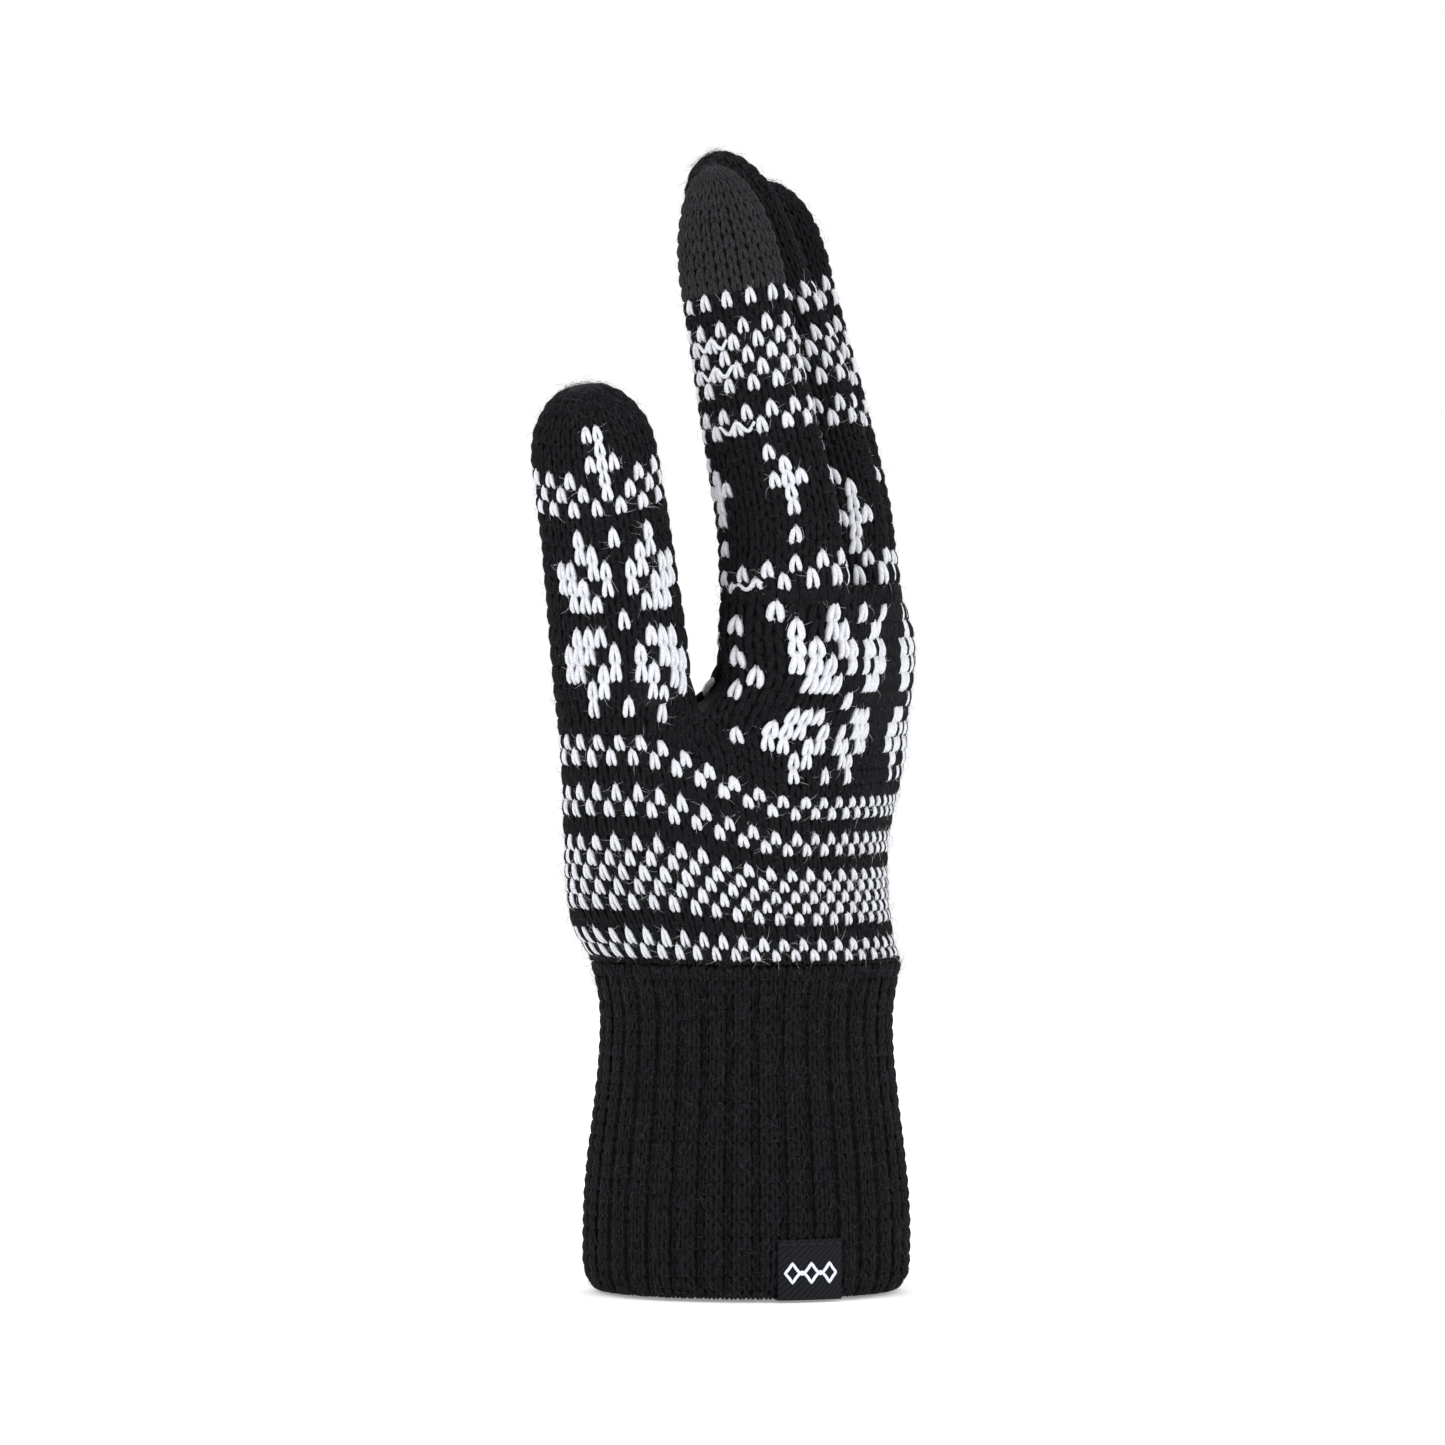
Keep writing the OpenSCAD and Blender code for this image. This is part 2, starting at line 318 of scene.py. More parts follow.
def reach(tree, centre, ways, far=90.0):
    """How far the solid's outer surface is from a centre along each of some directions."""
    found = []
    for way in ways:
        hit = tree.ray_cast(Vector(centre + far * way), Vector(-way), 2 * far)[3]
        found.append(np.nan if hit is None else far - hit)
    found = np.array(found)
    bad = np.isnan(found)
    if bad.any():
        found[bad] = np.interp(np.flatnonzero(bad), np.flatnonzero(~bad), found[~bad], period=len(found))
    return found


def directions(count, across, side):
    angle = TAU * np.arange(count) / count
    return np.outer(np.cos(angle), across) + np.outer(np.sin(angle), side)


X_AXIS, Y_AXIS, Z_AXIS = np.eye(3)
WELD_DIGITS = 4  # CAD points that agree to this many decimals of a millimetre are one point
OUTLINE_POINTS = 1200


def outline(name, z):
    """The outermost level outline of a CAD node at height z, counter-clockwise."""
    mesh = frame["nodes"][name].data
    mesh.calc_loop_triangles()
    raw = np.array([v.co for v in mesh.vertices]) / MM
    points, welded = np.unique(raw.round(WELD_DIGITS), axis=0, return_inverse=True)
    triangles = welded.ravel()[np.array([t.vertices for t in mesh.loop_triangles])]
    above = points[:, 2] > z
    links = {}
    for triangle in triangles[above[triangles].any(1) & ~above[triangles].all(1)]:
        edges = zip(triangle, np.roll(triangle, -1))
        ends = [tuple(sorted((int(p), int(q)))) for p, q in edges if above[p] != above[q]]
        for p, q in (ends, ends[::-1]):
            links.setdefault(p, []).append(q)
    loops, seen = [], set()
    for start in links:
        if start in seen:
            continue
        loop, here = [], start
        while here is not None:
            seen.add(here)
            p, q = points[here[0]], points[here[1]]
            loop.append(mix(p, q, (z - p[2]) / (q[2] - p[2])))
            here = next((e for e in links[here] if e not in seen), None)
        loops.append(np.array(loop))
    loop = max(loops, key=lambda each: abs(area(each)))
    loop = loop if area(loop) > 0 else loop[::-1]
    return along(np.vstack([loop, loop[:1]]), np.linspace(0, 1, OUTLINE_POINTS + 1)[:-1])


def area(loop):
    x, y = loop[:, 0], loop[:, 1]
    return 0.5 * np.sum(x * np.roll(y, -1) - np.roll(x, -1) * y)


def along(line, shares):
    """Points at shares of a line's length."""
    run = steps(np.linalg.norm(np.diff(line, axis=0), axis=1))
    return np.stack([np.interp(shares * run[-1], run, line[:, k]) for k in range(3)], 1)


def stretch(loop, start, end):
    """The part of a closed outline from the point nearest start on to the one nearest end."""
    a = np.argmin(np.hypot(*(loop[:, :2] - start).T))
    turned = np.roll(loop, -a, axis=0)
    b = np.argmin(np.hypot(*(turned[:, :2] - end).T))
    return np.vstack([turned, turned[:1]]) if b == 0 else turned[:b + 1]


def resample(loop, start_angle, shares):
    """Points at shares of a closed outline whose points lie at equal angles from 0."""
    count = len(loop)
    order = np.arange(count + 1) + (start_angle / TAU) % 1 * count
    whole, part = np.floor(order).astype(int) % count, (order % 1)[:, None]
    return along(loop[whole] * (1 - part) + loop[(whole + 1) % count] * part, shares)


def lift(table, levels, where):
    """Points of a table (levels, columns, 3) at other levels: where (rows, columns)."""
    where = np.clip(where, levels[0], levels[-1])
    k = np.clip(np.searchsorted(levels, where, side="right") - 1, 0, len(levels) - 2)
    t = ((where - levels[k]) / (levels[k + 1] - levels[k]))[..., None]
    columns = np.arange(table.shape[1])[None, :]
    return table[k, columns] * (1 - t) + table[k + 1, columns] * t


# ---------------- fabric, a grid of points that stitches lie on
RU, RV = 4, 4  # grid points per wale and per row


class Fabric:
    """wales x rows of knitting on a grid of points (rows * RV + 1, wales * RU + 1, 3)."""

    def __init__(self, points, closed=True):
        self.points = points
        self.rows, self.wales = (points.shape[0] - 1) // RV, (points.shape[1] - 1) // RU
        across = np.gradient(points, axis=1)
        if closed:
            across[:, 0] = across[:, -1] = points[:, 1] - points[:, -2]
        self.normals = unit(np.cross(across, np.gradient(points, axis=0)))
        self.pitch = np.linalg.norm(points[::RV, RU::RU] - points[::RV, :-RU:RU], axis=-1)

    def at(self, u, v):
        """Points and normals at wale u and row v, which are arrays of one shape."""
        margin = 1.001  # keeps a place inside the grid's last cell
        a = np.clip(u * RU, 0, self.points.shape[1] - margin)
        b = np.clip(v * RV, 0, self.points.shape[0] - margin)
        i, j = a.astype(int), b.astype(int)
        s, t = (a - i)[..., None], (b - j)[..., None]
        found = [g[j, i] * (1 - s) * (1 - t) + g[j, i + 1] * s * (1 - t)
                 + g[j + 1, i] * (1 - s) * t + g[j + 1, i + 1] * s * t for g in (self.points, self.normals)]
        return found[0], unit(found[1])


YARN_SHARE = 0.21  # yarn radius as a share of the distance between wales
YARN_THIN, YARN_THICK = 0.22, 0.86  # limits of the yarn's radius
FULL_PITCH = 2.4  # distance between wales from which the yarn rises to its full height
LEAST_LIFT = 0.35  # share of that height where the wales are crowded
# How unevenly the stitches lie
UNEVEN_SIDE, UNEVEN_RISE, UNEVEN_YARN = 0.06, 0.04, 0.05  # shares of their width, height and radius
UNEVEN_WALE, UNEVEN_ROW, UNEVEN_LIFT = 0.02, 0.03, 0.04  # in wales, in rows and in millimetres
# The course of one stitch's yarn, from the head at the bottom (0) up either leg to its foot (1)
COURSE = np.array([0, 0.10, 0.26, 0.55, 0.80, 1.0])
COURSE_SIDE = np.array([0, 0.17, 0.30, 0.235, 0.13, 0.07])  # from the middle of the wale, in wales
COURSE_RISE = np.array([-0.60, -0.58, -0.42, 0.02, 0.40, 0.72])  # from the middle of the row, in rows
COURSE_LIFT = np.array([-0.75, -0.45, 0.10, 0.28, 0.12, -0.35])  # off the fabric, in millimetres
COURSE_SIZE = np.array([0.60, 0.75, 1.00, 1.08, 0.85, 0.36])  # share of the yarn's radius


def knit(mesh, fabric, cells, segments, sides, material=0, plump=1.0, proud=0.0):
    """One closed tube of yarn for each stitch, its head at the bottom. cells (n, 2) holds wale and row."""
    if not len(cells):
        return

    def uneven(size):
        return rng.normal(0, size, (len(cells), 1))
    t = np.linspace(-1, 1, segments + 1)
    course = np.abs(t)
    side = np.sign(t) * np.interp(course, COURSE, COURSE_SIDE) * (1 + uneven(UNEVEN_SIDE))
    rise = np.interp(course, COURSE, COURSE_RISE) * (1 + uneven(UNEVEN_RISE))
    u = cells[:, :1] + 0.5 + side + uneven(UNEVEN_WALE)
    v = cells[:, 1:] + 0.5 + rise + uneven(UNEVEN_ROW)
    wide = fabric.pitch[np.clip(cells[:, 1], 0, fabric.pitch.shape[0] - 1), cells[:, 0]][:, None]
    radius = np.clip(YARN_SHARE * wide, YARN_THIN, YARN_THICK) * plump * (1 + uneven(UNEVEN_YARN))
    points, normals = fabric.at(u, v)
    crowding = np.clip(wide / FULL_PITCH, LEAST_LIFT, 1)
    offset = np.interp(course, COURSE, COURSE_LIFT) * crowding + proud + uneven(UNEVEN_LIFT)
    mesh.tubes(points + offset[..., None] * normals, normals, radius * np.interp(course, COURSE, COURSE_SIZE),
               sides, material)


FIBRE_SHORT, FIBRE_LONG, FIBRE_RADIUS = 0.8, 3.2, 0.026
FIBRE_ROOT = 0.35  # height above the fabric where a fibre leaves the yarn
FIBRE_CURL = 0.5  # how far fibres bend sideways, as a share of their length
FIBRE_RISE = (0.12, 0.5)  # how high they arch: the least share of their length, and how much more
FIBRE_ARCH = 2.4  # the part of a sine wave that the arch follows, in radians
FIBRE_POINTS, FIBRE_SIDES = 4, 3
FIBRE_TAPER = 0.8


def fuzz(mesh, fabric, cells, count, material):
    """Fine fibres that stand a little off the knitting, each a thin tapered tube."""
    if not len(cells) or not count:
        return
    pick = cells[rng.integers(0, len(cells), count)]
    u = pick[:, 0] + rng.random(count)
    v = pick[:, 1] + rng.random(count)
    root, normal = fabric.at(u, v)
    side = unit(np.cross(normal, Z_AXIS) + 1e-6)
    up = np.cross(normal, side)
    turn = rng.random(count) * TAU
    way = np.cos(turn)[:, None] * side + np.sin(turn)[:, None] * up
    bend = np.cross(normal, way) * rng.normal(0, FIBRE_CURL, (count, 1))
    length = FIBRE_SHORT + rng.random((count, 1)) ** 2 * (FIBRE_LONG - FIBRE_SHORT)
    rise = FIBRE_RISE[0] + rng.random((count, 1)) ** 3 * FIBRE_RISE[1]
    t = np.linspace(0, 1, FIBRE_POINTS)[None, :, None]
    lines = (root[:, None] + FIBRE_ROOT * normal[:, None]
             + length[:, None] * t * (way[:, None] + bend[:, None] * t)
             + (rise * length)[:, None] * np.sin(t * FIBRE_ARCH) * normal[:, None])
    radii = FIBRE_RADIUS * (1 - FIBRE_TAPER * t[..., 0] ** 2) * np.ones((count, 1))
    mesh.tubes(lines, np.repeat(normal[:, None], FIBRE_POINTS, 1), radii, FIBRE_SIDES, material)


FLOAT_POINTS, FLOAT_SIDES, FLOAT_RADIUS = 25, 6, 0.52
FLOAT_ROW, FLOAT_SWING = 0.55, 0.32  # middle and swing of the strand in its row, in rows
FLOAT_WAVE, FLOAT_UNEVEN = 1.6, 0.02  # length of a wave in wales, and how unevenly it runs in rows
FLOAT_LIFT = (0.45, 0.15)  # height off the fabric at the ends, and how much more in the middle
FLOAT_BLUNT = (0.25, 0.3)  # how far from a point the ends stop, in radians, and how blunt they are


def floats(mesh, fabric, runs, material):
    """Loose white strands that wander across a few wales: runs of (first wale, last wale, row)."""
    for low, high, row in runs:
        u = np.linspace(low, high, FLOAT_POINTS)[None]
        wave = FLOAT_SWING * np.cos((u - low) * TAU / FLOAT_WAVE)
        v = row + FLOAT_ROW + wave + rng.normal(0, FLOAT_UNEVEN, u.shape)
        points, normals = fabric.at(u, v)
        lift_off = FLOAT_LIFT[0] + FLOAT_LIFT[1] * np.sin(np.linspace(0, math.pi, FLOAT_POINTS))
        swell = np.sin(np.linspace(FLOAT_BLUNT[0], math.pi - FLOAT_BLUNT[0], FLOAT_POINTS)) ** FLOAT_BLUNT[1]
        size = FLOAT_RADIUS * swell
        mesh.tubes(points + lift_off[:, None] * normals, normals, size[None], FLOAT_SIDES, material)


def all_cells(wales, rows, first_row=0):
    i, j = np.meshgrid(np.arange(wales), np.arange(first_row, rows))
    return np.stack([i.ravel(), j.ravel()], 1)


# ---------------- the cuff
CUFF_RIBS, RIB_WALES = 36, 3
CUFF_WALES = CUFF_RIBS * RIB_WALES
CUFF_PITCH = 3.0  # height of a row
PURL_DEPTH = 1.2  # how far the purl furrows lie behind the ribs
PURL_MIDDLE = 2.5  # the middle of the furrow, in wales from the start of a rib
RIB_FADE = 8, 10  # the ribs flatten over this much of the hem and of the upper edge
PALM_EDGE, EDGE_RISE = 0.6, 5  # how far the cuff swells to meet the palm, and over what height
BASE_INSET = 0.4  # the yarn's middle line lies this far inside the CAD surface
LEVEL_INSET = 0.3  # outlines are read this far inside a CAD node's ends
HEM_LEVELS = [0.25, 0.9, 1.8, 3, 4.5, 6]  # where the rolled hem's outline is read
LABEL_PRESS = 0.8  # how far the label presses the knit in
PRESS_TURN, PRESS_RISE = 0.03, 1.5  # the margins of that, in radians and in millimetres
hem_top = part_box("cuff_hem")[1].z / MM
cuff_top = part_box("cuff_rib")[1].z / MM
cuff_tree = solid_tree("cuff_rib", "cuff_hem")
profile_z = np.concatenate([HEM_LEVELS, np.linspace(8, cuff_top - LEVEL_INSET, 30)])
profile_r = np.array([np.median(reach(cuff_tree, np.array([0, 0, z]), directions(40, X_AXIS, Y_AXIS)))
                      for z in profile_z])


def label_extent():
    """Middle and half of the angle that the label takes up, its outer radius and its top."""
    points = np.array([v.co for v in frame["nodes"]["woven_label"].data.vertices]) / MM
    angles = np.arctan2(points[:, 1], points[:, 0])
    low, high = angles.min(), angles.max()
    return (low + high) / 2, (high - low) / 2, np.hypot(points[:, 0], points[:, 1]).max(), points[:, 2].max()


label_angle, label_half, label_radius, label_top = label_extent()


def cuff_fabric():
    """The cuff's knitting, and the height of each row."""
    run = steps(np.hypot(np.diff(profile_r), np.diff(profile_z)))
    rows = round(run[-1] / CUFF_PITCH)
    at = np.linspace(0, run[-1], rows * RV + 1)
    r, z = np.interp(at, run, profile_r), np.interp(at, run, profile_z)
    u = np.arange(CUFF_WALES * RU + 1) / RU
    angle = u / CUFF_WALES * TAU
    in_rib = u % RIB_WALES
    furrow = np.cos((in_rib - PURL_MIDDLE) / RIB_WALES * TAU)
    dip = PURL_DEPTH * smooth((furrow + 0.2) / 1.2)
    full = smooth(z / RIB_FADE[0] + 0.3) * smooth((cuff_top + 1 - z) / RIB_FADE[1])
    from_label = np.abs((angle - label_angle + math.pi) % TAU - math.pi)
    under_label = (smooth((label_half + PRESS_TURN - from_label) / PRESS_TURN)
                   * smooth((label_top + PRESS_RISE - z) / PRESS_RISE)[:, None])
    radius = r[:, None] - BASE_INSET - dip * full[:, None] * (1 - under_label) - LABEL_PRESS * under_label
    radius = radius + PALM_EDGE * smooth((z - cuff_top + EDGE_RISE) / EDGE_RISE)[:, None]
    points = np.stack([radius * np.cos(angle), radius * np.sin(angle), z[:, None] + 0 * angle], -1)
    return Fabric(points), z[::RV]


# ---------------- the palm
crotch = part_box("lower_palm")[1].z / MM
palm_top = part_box("upper_palm")[1].z / MM
hull_levels = np.linspace(cuff_top + LEVEL_INSET, crotch - LEVEL_INSET, 24)
hand_levels = np.linspace(crotch + LEVEL_INSET, palm_top - LEVEL_INSET, 10)
hull_loops = [outline("lower_palm", z) for z in hull_levels]
hand_loops = [outline("upper_palm", z) for z in hand_levels]

# The folds between the thumb and the hand: at the cuff and at the crotch, in front and behind
FRONT_FOLD_LOW, FRONT_FOLD_HIGH = np.array([10.1, -33.2]), np.array([2.5, -48.5])
BACK_FOLD_LOW, BACK_FOLD_HIGH = np.array([-34.7, -0.6]), np.array([-18.0, -20.0])
HAND_WALES, THUMB_WALES = 66, 30
THUMB_UNIT, HAND_UNIT = 3.34, 2.42  # height of a palm row below the thumb and below the back of the hand
FOLD_HALF = 7  # the rows change from one height to the other over this many wales to each side
FOLD_DRIFT = 3.5  # at the cuff, the middle of that change lies this far on the thumb's side
# Each palm row: its height in units, and which of its wales are white (a even, b odd)
PALM_ROWS = [(0.35, " "), (1, "a"), (1, "b"), (1.4, " "), (1, "b"), (1, "a"), (1, "b"), (1, "a"), (1, "b"),
             (1.4, " "), (1, "b"), (1, "a"), (1.4, " "), (1, "a"), (1, "b")]
palm_run = steps([height for height, _ in PALM_ROWS])
fold_share = ((hull_levels - hull_levels[0]) / (hull_levels[-1] - hull_levels[0]))[:, None]
front_fold = mix(FRONT_FOLD_LOW, FRONT_FOLD_HIGH, fold_share)
back_fold = mix(BACK_FOLD_LOW, BACK_FOLD_HIGH, fold_share)


def spread(values):
    """Row boundaries, refined to RV steps a row."""
    return np.interp(np.arange((len(values) - 1) * RV + 1) / RV, np.arange(len(values)), values)


def hand_side(past_fold, units):
    """0 on the thumb and 1 on the hand, by wales past the fold (negative on the thumb)."""
    middle = -FOLD_DRIFT * (1 - units / palm_run[-1])
    return smooth((past_fold - middle + FOLD_HALF) / (2 * FOLD_HALF))


def start_height(past_fold):
    """Where the rows above the palm pattern begin."""
    return cuff_top + palm_run[-1] * mix(THUMB_UNIT, HAND_UNIT, hand_side(past_fold, palm_run[-1]))


def hull_table(hand_u, thumb_u):
    """Points at every palm level for wales of the hand and for wales of the thumb."""
    levels = list(zip(hull_loops, front_fold, back_fold))
    hand = [along(stretch(loop, front, back), hand_u / HAND_WALES) for loop, front, back in levels]
    thumb = [along(stretch(loop, back, front), thumb_u / THUMB_WALES) for loop, front, back in levels]
    return np.array(hand), np.array(thumb)


def sunk(points, closed):
    """A fabric whose yarn lies a little inside the CAD surface."""
    fabric = Fabric(points, closed)
    fabric.points = fabric.points - BASE_INSET * fabric.normals
    return fabric


def palm_fabric():
    """The palm's patterned knitting: first the wales of the hand, then those of the thumb."""
    hand_u, thumb_u = np.arange(HAND_WALES * RU) / RU, np.arange(THUMB_WALES * RU + 1) / RU
    table = np.concatenate(hull_table(hand_u, thumb_u), axis=1)
    past = np.concatenate([np.minimum(hand_u, HAND_WALES - hand_u),
                           -np.minimum(thumb_u, THUMB_WALES - thumb_u)])
    units = spread(palm_run)[:, None]
    z = cuff_top + units * mix(THUMB_UNIT, HAND_UNIT, hand_side(past, units))
    return sunk(lift(table, hull_levels, z), True)


FOLD_SPLIT = 131, 139  # between these heights the thumb parts from the hand at the front fold
FACE_SPLIT = 118, 146  # and between these on the faces
SPLIT_WALES = 6  # wales from the front fold to the face
BACK_SPLIT = 0.7  # how far the back fold itself already behaves like a face


def split_share(z, from_front, from_back):
    """How far the thumb and the hand have parted, by height and wales from the front and back folds."""
    t = smooth(np.minimum(from_front / SPLIT_WALES, BACK_SPLIT + from_back))
    low, high = (mix(at_fold, at_face, t) for at_fold, at_face in zip(FOLD_SPLIT, FACE_SPLIT))
    return smooth((z - low) / (high - low))[..., None]


HAND_SEAM = np.array([5.0, -37.5])
HAND_ROW_HEIGHTS = [3.1] + [3.32] * 5 + [3.64] + [3.96] * 5 + [3.8]
WIDE_WALE, WALE_DROP = 1.5, 0.6  # relative width of the first wales, and how much less the rest have
WALE_DROP_FROM, WALE_DROP_OVER = 7, 8  # from which wale on, and over how many wales
ROOT_BLEND = 10  # the hand's outline turns into the fingers' roots over this height
hand_z = cuff_top + palm_run[-1] * HAND_UNIT + steps(HAND_ROW_HEIGHTS)
hand_share = (hand_z - hand_z[0]) / (hand_z[-1] - hand_z[0])


def finger_roots():
    """One outline round the first sections of the four fingers."""
    points = np.concatenate([digits[name].loops()[1] for name in FINGER_WALES])
    furthest = (points @ directions(180, X_AXIS, Y_AXIS).T).argmax(0)
    ring = points[furthest[np.concatenate([[True], np.diff(furthest) != 0])]]
    return along(np.vstack([ring, ring[:1]]), np.linspace(0, 1, 240)[:-1])


def hand_fabric():
    """The hand's knitting above the palm's pattern, up to the roots of the fingers."""
    u = np.arange(HAND_WALES * RU + 1) / RU
    hull = hull_table(u, u[:1])[0]
    pitch = WIDE_WALE - WALE_DROP * smooth((np.arange(HAND_WALES) - WALE_DROP_FROM) / WALE_DROP_OVER)
    share = np.interp(u, np.arange(HAND_WALES + 1), steps(pitch) / pitch.sum())
    below_roots = hand_levels < palm_top - ROOT_BLEND
    outlines = [loop for loop, below in zip(hand_loops, below_roots) if below] + [finger_roots()]
    rings = np.array([along(stretch(loop, HAND_SEAM, HAND_SEAM), share) for loop in outlines])
    past = np.minimum(u, HAND_WALES - u)
    low = start_height(past)
    z = low + (palm_top - low) * spread(hand_share)[:, None]
    levels = np.append(hand_levels[below_roots], palm_top)
    below, above = lift(hull, hull_levels, z), lift(rings, levels, z)
    points = mix(below, above, split_share(z, u, HAND_WALES - u))
    points[..., 2] = z
    return sunk(points, False)


# ---------------- digits
SECTION_POINTS = 72  # points round each section of a digit
ROOT_REACH = 30.0  # the axis goes on straight below the root this far
FINGER_START = -4.0  # the first row is hidden behind the palm's edge
FIRST_SECTION = 3.5  # the lowest place where the digit's solid goes all round its axis
LEVEL_STEP = 1.5
TIP_LEVELS = np.array([5.2, 4.2, 3.3, 2.5, 1.8, 1.2, 0.7, 0.3])  # distances from the tip
TIP_RADIUS = 0.4  # what the last ring closes to
AXIS_HALF, AXIS_END = 2, 4  # the axis is aimed over this length each way, and no nearer to the tip than this


class Digit:
    """A digit's axis and outlines, read from its joints and CAD nodes."""

    def __init__(self, name):
        self.name = name
        joints = {j["name"]: j for j in frame["joints"]}
        first, second = joints[name + "_knuckle"], joints[name + "_mid_knuckle"]
        self.hinges = [np.array(j["pos_m"]) / MM for j in (first, second)]
        self.side = -unit(np.array(first["axis"]))
        self.up = np.array([0, -self.side[2], self.side[1]])
        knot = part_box(name + "_closing_knot")
        knot_at = np.array((knot[0] + knot[1]) / 2) / MM
        self.root_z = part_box(name + "_base_band")[0].z / MM
        first_bend = unit(self.hinges[1] - self.hinges[0])
        root = self.hinges[0] + first_bend * (self.root_z - self.hinges[0][2]) / first_bend[2]
        way = [root, *self.hinges, knot_at]
        chord = steps([np.linalg.norm(b - a) for a, b in zip(way, way[1:])])
        curve = [np.polyfit(chord, [p[k] for p in way], 3) for k in range(3)]
        line = np.stack([np.polyval(c, np.linspace(0, chord[-1], 120)) for c in curve], 1)
        end = unit(line[-1] - line[-2])
        tree = solid_tree(*[n for n in frame["nodes"] if n.startswith(name + "_") and "knot" not in n])
        rise = reach(tree, knot_at, [end])[0]
        self.line = np.concatenate([[root - ROOT_REACH * self.up], line, [knot_at + end * rise]])
        self.run = steps(np.linalg.norm(np.diff(self.line, axis=0), axis=1)) - ROOT_REACH
        self.tip = self.run[-1]
        straight = np.arange(2, self.tip - 6, LEVEL_STEP)
        self.levels = np.concatenate([[FINGER_START, 0.5], straight, self.tip - TIP_LEVELS])
        radii = []
        for s in self.levels:
            centre, across = self.section(max(s, FIRST_SECTION))
            radii.append(reach(tree, centre, directions(SECTION_POINTS, across, self.side), far=60.0))
        radii = np.array(radii)
        radii[:3] = radii[:6].max(0)
        middle = np.median(np.stack([radii[:-2], radii[1:-1], radii[2:]]), axis=0)
        near_tip = len(TIP_LEVELS)
        radii[1:-near_tip] = np.maximum(middle, radii[1:-1])[:1 - near_tip]
        radii[-1] = TIP_RADIUS
        self.radii = radii

    def section(self, s):
        """Centre of the digit at s, and the direction from palm to back there."""
        near = min(s, self.tip - AXIS_END)
        centre, low, high = [np.array([np.interp(t, self.run, self.line[:, k]) for k in range(3)])
                             for t in (s, near - AXIS_HALF, near + AXIS_HALF)]
        return centre, np.cross(self.side, unit(high - low))

    def loops(self, depth=0.0):
        """Closed outlines at every level, depth inside the CAD surface."""
        found = []
        for s, radii in zip(self.levels, self.radii):
            centre, across = self.section(s)
            ways = directions(SECTION_POINTS, across, self.side)
            found.append(centre + np.maximum(radii - depth, 0.25)[:, None] * ways)
        return np.array(found)

    def surface_run(self):
        """Length along the surface from the root to each level."""
        return steps(np.hypot(np.diff(self.levels), np.diff(self.radii.mean(1)))) + self.levels[0]


digits = {name: Digit(name) for name in ("thumb", "index", "middle", "ring", "little")}
FINGER_WALES = {"index": 24, "middle": 24, "ring": 24, "little": 22}
FINGER_SEAM = math.radians(100)
FINGER_PITCH = 3.2  # height of a row


def finger_fabric(digit):
    """The knitting of a finger, and how far along the finger each row lies."""
    wales = FINGER_WALES[digit.name]
    u = np.arange(wales * RU + 1) / RU
    table = np.array([resample(loop, FINGER_SEAM, u / wales) for loop in digit.loops(BASE_INSET)])
    run = digit.surface_run()
    rows = round((run[-1] - FINGER_START) / FINGER_PITCH)
    at = np.linspace(FINGER_START, run[-1], rows * RV + 1)
    return Fabric(lift(table, run, np.repeat(at[:, None], len(u), 1))), np.interp(at[::RV], run, digit.levels)


THUMB_SEAM = math.radians(21)
THUMB_ROW_HEIGHTS = [4.0] + [3.82] * 5 + [3.6] * 6 + [3.2] * 6
THUMB_LAST_PITCH = 3.25  # about the height of the rows above those
THUMB_DOWN = 20.0  # the thumb's outline goes on straight this far below its root
THUMB_LEVEL = 10  # the rows have turned level by this row


def thumb_fabric():
    """The thumb's knitting above the palm's pattern, and how far along the thumb each row lies."""
    digit = digits["thumb"]
    slope = digit.up[2]
    u = np.arange(THUMB_WALES * RU + 1) / RU
    hull = hull_table(u[:1], u)[1]
    loops = digit.loops()
    loops = [loops[0] - THUMB_DOWN * digit.up, *loops]
    table = np.array([resample(loop, THUMB_SEAM, u / THUMB_WALES) for loop in loops])
    levels = np.concatenate([[digit.levels[0] - THUMB_DOWN], digit.levels])
    run = np.concatenate([levels[:1], digit.surface_run()])
    from_fold = np.minimum(u, THUMB_WALES - u)
    turn = THUMB_SEAM + u / THUMB_WALES * TAU
    rise = np.sin(turn) * digit.radii[3].mean() * digit.side[2]
    face_rise = rise.min()
    low = start_height(np.full(1, -THUMB_WALES / 2))[0]
    s_rows = (low + steps(THUMB_ROW_HEIGHTS) - digit.root_z - face_rise) / slope
    left = run[-1] - s_rows[-1]
    more = round(left / THUMB_LAST_PITCH)
    s_rows = np.concatenate([s_rows, s_rows[-1] + left * np.arange(1, more + 1) / more])
    s = spread(s_rows)[:, None]
    z = s * slope + digit.root_z + face_rise
    row = np.arange(len(s))[:, None] / RV
    drop = (low - start_height(-from_fold)) * (1 - smooth(row / THUMB_LEVEL))
    level = 1 - smooth((row - 1) / (THUMB_LEVEL - 1))
    below = lift(hull, hull_levels, z - drop)
    below[..., 2] = z - drop
    above = lift(table, run, s - (drop + (rise - face_rise) * level) / slope)
    points = mix(below, above, split_share(z - drop, THUMB_WALES - u, u))
    return sunk(points, False), np.interp(s_rows, run, levels)


# ---------------- patterns
def star(column, row):
    """Whether a stitch belongs to the eight-petalled star centred on column 0 and row 0."""
    i, j = abs(column), abs(row)
    if (i, j) in ((0, 0), (0, 5)):
        return True
    if i in (1, 2, 3) and j - i in (1, 2):
        return True
    return j in (1, 2, 3) and i - j in (1, 2, 3) and (i, j) != (6, 3)


